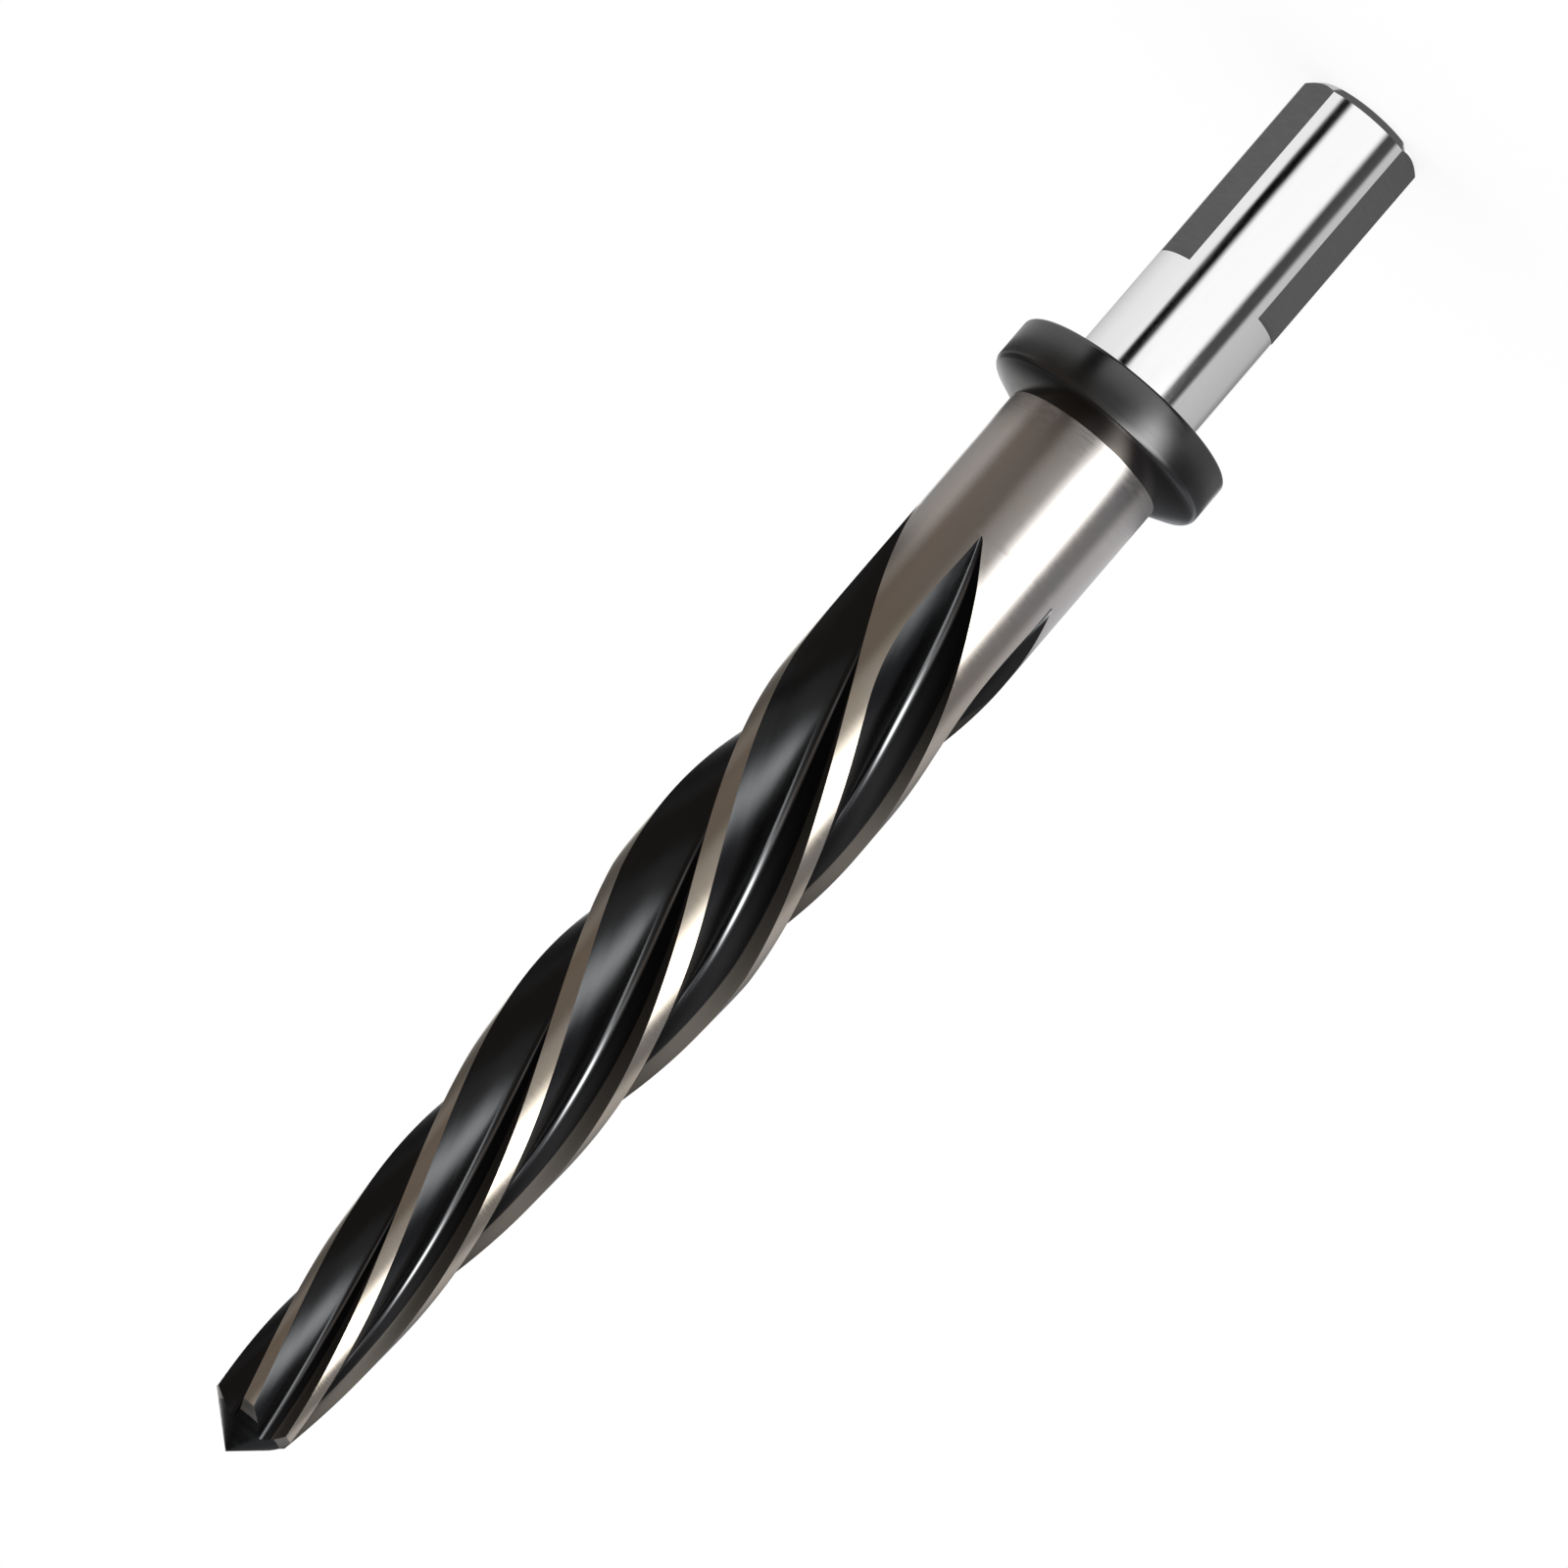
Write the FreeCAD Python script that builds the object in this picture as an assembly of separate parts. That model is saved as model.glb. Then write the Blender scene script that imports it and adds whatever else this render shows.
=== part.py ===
import FreeCAD, Part
import math
import os

# A bridge reamer bit, in millimetres and degrees. It stands on the end of its shank, with its point up.
# The origin is the centre of the shank's end face.

# Shank
shank_diameter = 14.0
shank_length = 36.3
end_chamfer_width = 1.07
end_chamfer_height = 0.95

# Jaw flats, milled into the shank from its end
flat_count = 3
flat_depth = 0.51
flat_length = 22.8
first_flat_angle = 90.0

# Stop collar, pressed on a seat at the foot of the neck
collar_diameter = 24.6
collar_rim_height = 4.7
collar_cone_height = 1.7
collar_upper_chamfer = 0.35
collar_lower_chamfer = 0.6
seat_diameter = 14.4
seat_clearance = 0.01

# Body
reamer_diameter = 17.4625
neck_length = 14.6
straight_flute_length = 46.2
taper_length = 62.4
point_diameter = 9.32
point_angle = 95.0

# Flutes: a left-hand spiral that cuts to the right
flute_count = 5
spiral_lead = 115.7
edge_angle_at_point = -6.4
core_diameter = 10.5
point_core_diameter = 5.8
land_width = 2.1
point_land_width = 1.25
wheel_radius = 59.0
run_out_narrowing = 0.68
run_out_curve = 2.0
run_out_lag_angle = 7.5
section_spacing = 4.0
cutter_crown = 4.0
overcut = 1.5

# Section of a flute: an arc runs from the heel of one land over the bottom to the foot of the next land's
# straight cutting face. Widths are shares of the way from heel to cutting edge, and depths of the way
# from the surface to the core.
bottom_width_share = 0.52
bottom_depth_share = 0.92
foot_width_share = 0.96
foot_depth_share = 0.88
arc_steps = 6

shank_radius = shank_diameter / 2
seat_radius = seat_diameter / 2
body_radius = reamer_diameter / 2
point_radius = point_diameter / 2
collar_radius = collar_diameter / 2

# Heights above the end of the shank
collar_height = collar_rim_height + collar_cone_height
shoulder_level = shank_length + collar_height
run_out_level = shoulder_level + neck_length
taper_level = run_out_level + straight_flute_length
point_base_level = taper_level + taper_length
point_height = point_radius / math.tan(math.radians(point_angle / 2))
overall_length = point_base_level + point_height

UP = FreeCAD.Vector(0, 0, 1)
ORIGIN = FreeCAD.Vector(0, 0, 0)


def polar(radius, angle, height):
    """Point at a radius and an angle about the Z axis."""
    turn_angle = math.radians(angle)
    return FreeCAD.Vector(radius * math.cos(turn_angle), radius * math.sin(turn_angle), height)


def turn(outline):
    """Solid turned about the Z axis from a closed outline of (radius, height) points."""
    corners = [FreeCAD.Vector(radius, 0, height) for radius, height in outline]
    face = Part.Face(Part.makePolygon(corners + corners[:1]))
    return face.revolve(ORIGIN, UP, 360)


def around(shape, count, first_angle=0.0):
    """Copies of a shape, evenly spaced about the Z axis."""
    copies = []
    for index in range(count):
        copy = shape.copy()
        copy.rotate(ORIGIN, UP, first_angle + index * 360 / count)
        copies.append(copy)
    return copies


def smooth(points):
    """Smooth edge through points. Its parameter at each point is the same in every section of a loft."""
    curve = Part.BSplineCurve()
    curve.interpolate(Points=points, Parameters=list(range(len(points))))
    return curve.toShape()


def turned_blank():
    """Shank, seat, neck, body, taper and point, before any flute or flat is cut.

    The shank is in two lengths, gripped and round, which meet where the jaw flats end.
    """
    return turn(
        [
            (0, 0),
            (shank_radius - end_chamfer_width, 0),
            (shank_radius, end_chamfer_height),
            (shank_radius, flat_length),
            (shank_radius, shank_length),
            (seat_radius, shank_length),
            (seat_radius, shoulder_level),
            (body_radius, shoulder_level),
            (body_radius, taper_level),
            (point_radius, point_base_level),
            (0, overall_length),
        ]
    )


def taper_share(height):
    """0 along the straight body, rising to 1 at the small end of the taper."""
    return max(0.0, (height - taper_level) / taper_length)


def between(large_end, small_end, height):
    """A size that changes evenly along the taper."""
    return large_end + (small_end - large_end) * taper_share(height)


def flute_section(height, core_radius, run_out_share, lift):
    """Closed outline of one flute at a height, turned to its place on the spiral.

    In the run-out the wheel lifts out of the blank, so the flute rises and narrows towards the edge that
    it leaves last.
    """
    surface_radius = between(body_radius, point_radius, height)
    land = between(land_width, point_land_width, height)
    flute_angle = 360 / flute_count - math.degrees(land / surface_radius)
    edge_angle = edge_angle_at_point + 360 * (overall_length - height) / spiral_lead
    narrowing = 1 - run_out_narrowing * run_out_share**run_out_curve

    def place(width_share, depth_share):
        behind_edge = run_out_lag_angle + (flute_angle * (1 - width_share) - run_out_lag_angle) * narrowing
        radius = surface_radius - (surface_radius - core_radius) * depth_share + lift
        return polar(radius, edge_angle + behind_edge, height)

    heel = place(0, 0)
    bottom = place(bottom_width_share, bottom_depth_share)
    foot = place(foot_width_share, foot_depth_share)
    edge = place(1, 0)
    circle = Part.Circle(heel, bottom, foot)
    first = -overcut / circle.Radius
    step = (circle.parameter(foot) - first) / arc_steps
    arc = [circle.value(first + step * index) for index in range(arc_steps + 1)]
    face_end = edge + (edge - foot).normalize() * overcut
    crown = polar(surface_radius + lift + cutter_crown, edge_angle + flute_angle / 2, height)
    face = Part.LineSegment(foot, face_end).toShape()
    return Part.Wire([smooth(arc), face, smooth([face_end, crown, arc[0]])])


def even_steps(start, end):
    """Heights from start to end, at most one section spacing apart."""
    count = math.ceil(abs(end - start) / section_spacing)
    return [start + (end - start) * index / count for index in range(count + 1)]


def flute_cutter():
    """Path of the grinding wheel through the blank, from past the point to where it lifts out."""
    depth = body_radius - core_diameter / 2
    exit_run = math.sqrt(wheel_radius**2 - (wheel_radius - depth) ** 2)
    last_run = math.sqrt(wheel_radius**2 - (wheel_radius - depth - overcut) ** 2)
    lift_level = run_out_level + exit_run
    sections = []
    for height in even_steps(overall_length + overcut, taper_level):
        core_radius = between(core_diameter, point_core_diameter, height) / 2
        sections.append(flute_section(height, core_radius, 0, 0))
    for height in even_steps(taper_level, lift_level)[1:]:
        sections.append(flute_section(height, core_diameter / 2, 0, 0))
    for height in even_steps(lift_level, lift_level - last_run)[1:]:
        run = lift_level - height
        lift = wheel_radius - math.sqrt(wheel_radius**2 - run**2)
        sections.append(flute_section(height, core_diameter / 2, min(1, run / exit_run), lift))
    return Part.makeLoft(sections, True, False)


def flat_cutter():
    """Stock that is milled off one side of the shank, up to a square shoulder."""
    return Part.makeBox(
        flat_depth + overcut,
        shank_diameter,
        flat_length + overcut,
        FreeCAD.Vector(shank_radius - flat_depth, -shank_radius, -overcut),
    )


def reamer_body():
    """The one-piece tool: the turned blank with its flutes ground and its jaw flats milled."""
    body = turned_blank()
    for cutter in around(flute_cutter(), flute_count):
        body = body.cut(cutter)
    for cutter in around(flat_cutter(), flat_count, first_flat_angle):
        body = body.cut(cutter)
    return body


def stop_collar():
    """Pressed-on ring with chamfered rims, whose lower face flares from the neck as a shallow cone."""
    bore_radius = seat_radius + seat_clearance
    rim_level = shank_length + collar_rim_height
    cone_run = (collar_radius - body_radius) / collar_cone_height
    return turn(
        [
            (bore_radius, shank_length),
            (collar_radius - collar_upper_chamfer, shank_length),
            (collar_radius, shank_length + collar_upper_chamfer),
            (collar_radius, rim_level - collar_lower_chamfer),
            (collar_radius - collar_lower_chamfer, rim_level + collar_lower_chamfer / cone_run),
            (body_radius, shoulder_level),
            (bore_radius, shoulder_level),
        ]
    )


os.makedirs("parts", exist_ok=True)
for name, shape in (("reamer_body", reamer_body()), ("stop_collar", stop_collar())):
    print(name, "valid", shape.isValid(), "solids", len(shape.Solids), "volume", round(shape.Volume, 1))
    shape.exportStep(f"parts/{name}.step")
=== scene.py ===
"""A bridge reamer bit: fluted body, shank and stop collar, with the studio that it is photographed in.

Lengths are in metres, as in the frame. Helper functions that draw outlines work in millimetres.
"""

import math

import bpy
import bmesh
from mathutils import Matrix, Vector


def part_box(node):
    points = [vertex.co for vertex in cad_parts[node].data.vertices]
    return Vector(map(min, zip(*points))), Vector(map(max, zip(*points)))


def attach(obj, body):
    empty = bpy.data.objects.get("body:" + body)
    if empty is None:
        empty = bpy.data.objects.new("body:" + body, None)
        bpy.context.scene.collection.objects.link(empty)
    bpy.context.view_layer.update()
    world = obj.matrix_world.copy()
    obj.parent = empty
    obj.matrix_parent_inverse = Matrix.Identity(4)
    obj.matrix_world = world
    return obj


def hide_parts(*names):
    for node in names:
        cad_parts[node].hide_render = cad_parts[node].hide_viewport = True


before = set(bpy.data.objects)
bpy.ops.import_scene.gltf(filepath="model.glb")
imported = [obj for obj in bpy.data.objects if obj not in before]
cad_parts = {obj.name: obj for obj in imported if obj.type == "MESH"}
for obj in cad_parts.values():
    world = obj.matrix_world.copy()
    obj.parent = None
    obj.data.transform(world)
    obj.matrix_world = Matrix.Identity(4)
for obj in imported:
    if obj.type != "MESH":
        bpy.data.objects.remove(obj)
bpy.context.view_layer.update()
COLLAR_LOW, COLLAR_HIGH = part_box("stop_collar")
BODY_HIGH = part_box("reamer_body")[1]

bl_info = {
    "name": "Bridge Reamer Bit",
    "version": (1, 0, 0),
    "blender": (4, 5, 0),
    "location": "3D View > Sidebar > Reamer",
    "description": "Builds a spiral-fluted reamer bit and its studio",
    "category": "Object",
}

MM = 0.001
MERGE_DISTANCE = 0.000002
SMALLEST_EDGE = 0.000001

# Range in which most of a noise's values lie.
NOISE_RANGE = (0.3, 0.7)

# Finishes of the fluted body, in the order of its material slots.
FINISHES = ("ground", "oxide", "point", "bevel")


def linear(code):
    """Linear colour of an sRGB hex value."""
    levels = [int(code[start : start + 2], 16) / 255 for start in (0, 2, 4)]
    return tuple(
        level / 12.92 if level <= 0.04045 else ((level + 0.055) / 1.055) ** 2.4 for level in levels
    )


def length(name, text, value):
    """Length property, given in millimetres and kept in metres."""
    return bpy.props.FloatProperty(
        name=name, description=text, default=value * MM, min=0, unit="LENGTH", subtype="DISTANCE", precision=5
    )


def angle(name, text, value):
    """Angle property, given in degrees."""
    return bpy.props.FloatProperty(
        name=name, description=text, default=math.radians(value), unit="ROTATION", subtype="ANGLE"
    )


def share(name, text, value):
    """Property between nought and one."""
    return bpy.props.FloatProperty(name=name, description=text, default=value, min=0, max=1, subtype="FACTOR")


def colour(name, text, code):
    """Colour property, given as an sRGB hex value."""
    return bpy.props.FloatVectorProperty(
        name=name, description=text, default=linear(code), size=3, min=0, max=1, subtype="COLOR"
    )


class FluteSizes(bpy.types.PropertyGroup):
    """Sizes of the neck, the flutes and the point."""

    reamer_diameter: length("Reamer diameter", "Diameter over the lands", 17.4625)
    neck_length: length("Neck length", "Plain length between the collar and the flutes", 14.6)
    straight_length: length("Straight length", "Fluted length at full diameter", 46.2)
    taper_length: length("Taper length", "Fluted length that narrows to the point", 62.4)
    point_diameter: length("Point diameter", "Diameter at the foot of the point", 9.32)
    flute_count: bpy.props.IntProperty(
        name="Flutes", description="Number of flutes round the tool", default=5, min=2, max=12
    )
    spiral_lead: length("Spiral lead", "Length of one full turn of a flute", 115.7)
    edge_angle: angle("Edge angle", "Angle of the first cutting edge at the tip", -6.4)
    core_diameter: length("Core diameter", "Diameter of the steel left between the flutes", 10.5)
    point_core_diameter: length("Point core diameter", "Core diameter at the foot of the point", 5.8)
    land_width: length("Land width", "Width of a land at full diameter", 2.1)
    point_land_width: length("Point land width", "Width of a land at the foot of the point", 1.25)
    bevel_share: share("Bevel share", "Share of the point's height that the bevelled tooth ends take", 0.2)
    wheel_radius: length("Wheel radius", "Radius of the wheel whose exit leaves the run-out", 59)
    run_out_narrowing: share("Run-out narrowing", "How much the flute narrows as the wheel leaves it", 0.68)
    run_out_curve: bpy.props.FloatProperty(
        name="Run-out curve",
        description="How late in the run-out the flute narrows",
        default=2.0,
        min=1,
        max=4,
    )
    run_out_lag: angle("Run-out lag", "Angle behind the edge where the run-out ends", 7.5)


class ShankSizes(bpy.types.PropertyGroup):
    """Sizes of the shank and its jaw flats."""

    diameter: length("Shank diameter", "Diameter of the round shank", 14)
    chamfer_width: length("Chamfer width", "Radial width of the end chamfer", 1.07)
    chamfer_height: length("Chamfer height", "Length of the end chamfer", 0.95)
    seat_diameter: length("Seat diameter", "Diameter of the seat under the collar", 14.4)
    flat_count: bpy.props.IntProperty(
        name="Flats", description="Number of jaw flats round the shank", default=3, min=1, max=6
    )
    flat_angle: angle("First flat", "Angle of the first jaw flat about the axis", 90)
    flat_depth: length("Flat depth", "Depth of a jaw flat below the round", 0.51)
    flat_length: length("Flat length", "Length of a jaw flat from the end of the shank", 22.8)


class CollarSizes(bpy.types.PropertyGroup):
    """Sizes of the stop collar that the frame doesn't give."""

    rim_height: length("Rim height", "Height of the straight rim", 4.7)
    upper_rounding: length("Upper rounding", "Radius of the rim on the shank's side", 0.45)
    lower_rounding: length("Lower rounding", "Radius of the rim on the point's side", 0.8)
    bore_clearance: length("Bore clearance", "Gap between the bore and the seat", 0.01)


class Finishes(bpy.types.PropertyGroup):
    """Colours of the steel's finishes, with painted highlight and painted shade among them, and how wide the
    strips and the painted highlight lines in the flutes are.
    """

    ground: colour("Ground steel", "Ground lands and neck", "DEDAD7")
    film: colour("Oxide film", "Warm film that lies on the ground steel in places", "DCD0BE")
    face: colour("Cutting face", "Strip along the cutting edges", "524E49")
    oxide: colour("Black oxide", "Flutes", "3F4041")
    # Darker than the oxide, partly as painted shade on the cutting faces inside the flutes.
    matt: colour("Matt black oxide", "Cutting faces below their strips", "1E1E1F")
    # Painted highlight: the bright colour of the thin band laid beside each flute's root.
    root: colour("Flute root", "Burnished line along the root of each flute", "9A9B9C")
    painted_highlight_width: share("Root width", "Share of a flute's girth from the root line's middle to its edge", 0.04)
    strip_start: share("Strip start", "Share of a flute's girth that the strip takes at the run-out", 0.08)
    strip_end: share("Strip end", "Share of a flute's girth that the strip takes at the point", 0.2)
    bevel: colour("Tooth ends", "Bevels at the foot of the point", "A5A19D")
    polished: colour("Polished steel", "Round of the shank", "FAFAFA")
    milled: colour("Milled steel", "Jaw flats", "5C5C5C")
    satin: colour("Satin black oxide", "Rim of the stop collar", "5D5D5D")
    # Painted shade: the cone where the collar meets the neck is darker than the rim.
    shaded_collar_cone: colour("Collar cone", "Cone between the collar's rim and the neck", "363433")


class StudioSizes(bpy.types.PropertyGroup):
    """Place of the camera and the reflection cards."""

    view_tilt: angle("View tilt", "How far the camera looks down on the standing tool", 12.25)
    view_roll: angle("View roll", "How far the picture is turned", -139.33)
    frame_width: length("Frame width", "Width that the picture shows at the tool", 149.1)
    camera_distance: length("Camera distance", "From the middle of the tool to the camera", 2000)
    card_radius: length("Card radius", "Distance of the reflection cards from the axis", 60)


def value_between(before, start, end, after, along):
    """Value at a share of the way from start to end, on a smooth curve through four values in a row."""
    slope = end - before
    bend = 2 * before - 5 * start + 4 * end - after
    sway = 3 * start - before - 3 * end + after
    return 0.5 * (2 * start + slope * along + bend * along**2 + sway * along**3)


def smooth_outline(points, steps):
    """Curve through points, as even steps between each pair."""
    padded = [points[0]] + list(points) + [points[-1]]
    curve = []
    for four in zip(padded, padded[1:], padded[2:], padded[3:]):
        for step in range(steps):
            curve.append(tuple(value_between(*values, step / steps) for values in zip(*four)))
    curve.append(tuple(points[-1]))
    return curve


def polar(radius, turn_angle, height):
    """Point from a radius and height in millimetres and an angle in degrees."""
    turn = math.radians(turn_angle)
    return Vector((radius * math.cos(turn), radius * math.sin(turn), height)) * MM


class Skin:
    """Faces of a piece, gathered row by row, with each face's finish and each corner's place across."""

    def __init__(self):
        self.points = []
        self.faces = []
        self.finishes = []
        self.across = []

    def add_rows(self, rows, finish, shares=None):
        """Grid between rows of points that run the same way round the axis.

        The shares say how far across the piece each point lies.
        """
        shares = shares or [[0.5] * len(row) for row in rows]
        for row in range(len(rows) - 1):
            low, high = rows[row], rows[row + 1]
            below, above = shares[row], shares[row + 1]
            first = len(self.points)
            second = first + len(low)
            self.points += low + high
            for column in range(len(low) - 1):
                self.faces.append((first + column, first + column + 1, second + column + 1, second + column))
                self.finishes.append(finish)
                self.across += [below[column], below[column + 1], above[column + 1], above[column]]

    def mesh(self, name):
        """Mesh whose doubled points are merged and whose faces keep their finish."""
        mesh = bpy.data.meshes.new(name)
        mesh.from_pydata(self.points, [], self.faces)
        mesh.attributes.new("finish", "INT", "FACE").data.foreach_set("value", self.finishes)
        mesh.attributes.new("across", "FLOAT", "CORNER").data.foreach_set("value", self.across)
        merge(mesh)
        return mesh


def merge(mesh):
    """Merge doubled points and drop faces without area."""
    work = bmesh.new()
    work.from_mesh(mesh)
    bmesh.ops.remove_doubles(work, verts=work.verts, dist=MERGE_DISTANCE)
    bmesh.ops.dissolve_degenerate(work, edges=work.edges, dist=SMALLEST_EDGE)
    work.to_mesh(mesh)
    work.free()


def shade(mesh, sharp_angle):
    """Smooth faces, with sharp edges at corners and wherever the finish changes."""
    work = bmesh.new()
    work.from_mesh(mesh)
    for face in work.faces:
        face.smooth = True
    for edge in work.edges:
        if len(edge.link_faces) == 2:
            first, second = edge.link_faces
            same = first.material_index == second.material_index
            edge.smooth = same and edge.calc_face_angle(0) < math.radians(sharp_angle)
    work.to_mesh(mesh)
    work.free()


def place(name, mesh):
    """Object of a mesh, in the scene and at the origin."""
    piece = bpy.data.objects.new(name, mesh)
    bpy.context.scene.collection.objects.link(piece)
    return piece


def add_node(tree, kind, inputs=(), **settings):
    """Node with its settings and its inputs, which are given by name or in the order that the node shows.

    An input is a value, an output of another node, or another node, whose first shown output is taken.
    """
    node = tree.nodes.new(kind)
    for name, value in settings.items():
        setattr(node, name, value)
    shown = [socket for socket in node.inputs if socket.enabled]
    if isinstance(inputs, dict):
        shown = [next(socket for socket in shown if socket.name == name) for name in inputs]
        inputs = inputs.values()
    for socket, value in zip(shown, inputs):
        if isinstance(value, bpy.types.Node):
            value = next(output for output in value.outputs if output.enabled)
        if isinstance(value, bpy.types.NodeSocket):
            tree.links.new(value, socket)
        else:
            socket.default_value = value
    return node


def empty_tree(owner):
    """Node tree of a material or world, without its first nodes."""
    owner.use_nodes = True
    owner.node_tree.nodes.clear()
    return owner.node_tree


def new_material(name):
    """Material with an empty node tree."""
    material = bpy.data.materials.new(name)
    return material, empty_tree(material)


def height_on_tool(tree):
    """Height above the shank's end of the point that is shaded."""
    where = add_node(tree, "ShaderNodeTexCoord").outputs["Object"]
    return add_node(tree, "ShaderNodeSeparateXYZ", {"Vector": where}).outputs["Z"]


def flute_place(tree, sizes):
    """Object coordinates with the spiral taken out, so that a pattern on them runs along the flutes."""
    where = add_node(tree, "ShaderNodeTexCoord").outputs["Object"]
    turn_rate = math.tau / sizes.spiral_lead
    turn = add_node(tree, "ShaderNodeMath", (height_on_tool(tree), turn_rate), operation="MULTIPLY")
    return add_node(
        tree, "ShaderNodeVectorRotate", {"Vector": where, "Angle": turn}, rotation_type="Z_AXIS"
    )


def grain(tree, where, size, detail=3.0):
    """Noise whose grains have a size in millimetres along each axis."""
    scale = tuple(1 / (side * MM) for side in size)
    scaled = add_node(tree, "ShaderNodeMapping", {"Vector": where, "Scale": scale})
    return add_node(
        tree, "ShaderNodeTexNoise", {"Vector": scaled, "Scale": 1.0, "Detail": detail, "Roughness": 0.6}
    )


def near(tree, value, centre, reach):
    """One where a value is at a centre, falling to nought at a reach from it."""
    offset = add_node(tree, "ShaderNodeMath", (value, centre), operation="SUBTRACT")
    away = add_node(tree, "ShaderNodeMath", (offset,), operation="ABSOLUTE")
    return add_node(tree, "ShaderNodeMapRange", (away, reach, 0.0), interpolation_type="SMOOTHSTEP")


def steel_surface(tree, tone, roughness, lines, relief, metallic=1.0):
    """Steel with a tone and a roughness, whose fine lines lift its surface by a height in millimetres."""
    lifted = add_node(tree, "ShaderNodeBump", {"Height": lines, "Strength": 1.0, "Distance": relief * MM})
    steel = add_node(
        tree,
        "ShaderNodeBsdfPrincipled",
        {"Base Color": tone, "Metallic": metallic, "Roughness": roughness, "Normal": lifted},
    )
    add_node(tree, "ShaderNodeOutputMaterial", {"Surface": steel})


def lined_steel(tree, tone, line_size, roughness, relief, metallic=1.0):
    """Steel whose fine lines change its roughness and lift its surface."""
    where = add_node(tree, "ShaderNodeTexCoord").outputs["Object"]
    lines = grain(tree, where, line_size)
    dullness = add_node(tree, "ShaderNodeMapRange", (lines, *NOISE_RANGE, *roughness))
    steel_surface(tree, tone, dullness, lines, relief, metallic)


def ground_steel(context):
    """High-speed steel, ground round the axis, with a thin warm oxide film that is fuller on the lands.

    It mirrors softly, spread along the axis by lines that run round the tool. The lines are drawn 0.12 mm
    apart, coarser than real grinding lines, so that they show.
    """
    lands_start = FluteForm(context.scene.reamer_flutes).run_out
    lands_full = lands_start + 15
    most_on_neck, least_on_lands = 0.35, 0.65
    pale = (*context.scene.reamer_finishes.ground, 1)
    warm = (*context.scene.reamer_finishes.film, 1)
    material, tree = new_material("ground_high_speed_steel")
    where = add_node(tree, "ShaderNodeTexCoord").outputs["Object"]
    height = height_on_tool(tree)
    on_lands = add_node(tree, "ShaderNodeMapRange", (height, lands_start * MM, lands_full * MM, 0.0, 1.0))
    thinnest = add_node(tree, "ShaderNodeMath", (on_lands, least_on_lands), operation="MULTIPLY")
    thickest = add_node(tree, "ShaderNodeMapRange", (on_lands, 0.0, 1.0, most_on_neck, 1.0))
    patches = grain(tree, where, (4.0, 4.0, 7.0), 1.0)
    film = add_node(tree, "ShaderNodeMapRange", (patches, *NOISE_RANGE, thinnest, thickest))
    tone = add_node(tree, "ShaderNodeMix", (film, pale, warm), data_type="RGBA")
    lined_steel(tree, tone, (1.6, 1.6, 0.12), roughness=(0.15, 0.23), relief=0.0005)
    return material


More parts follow.
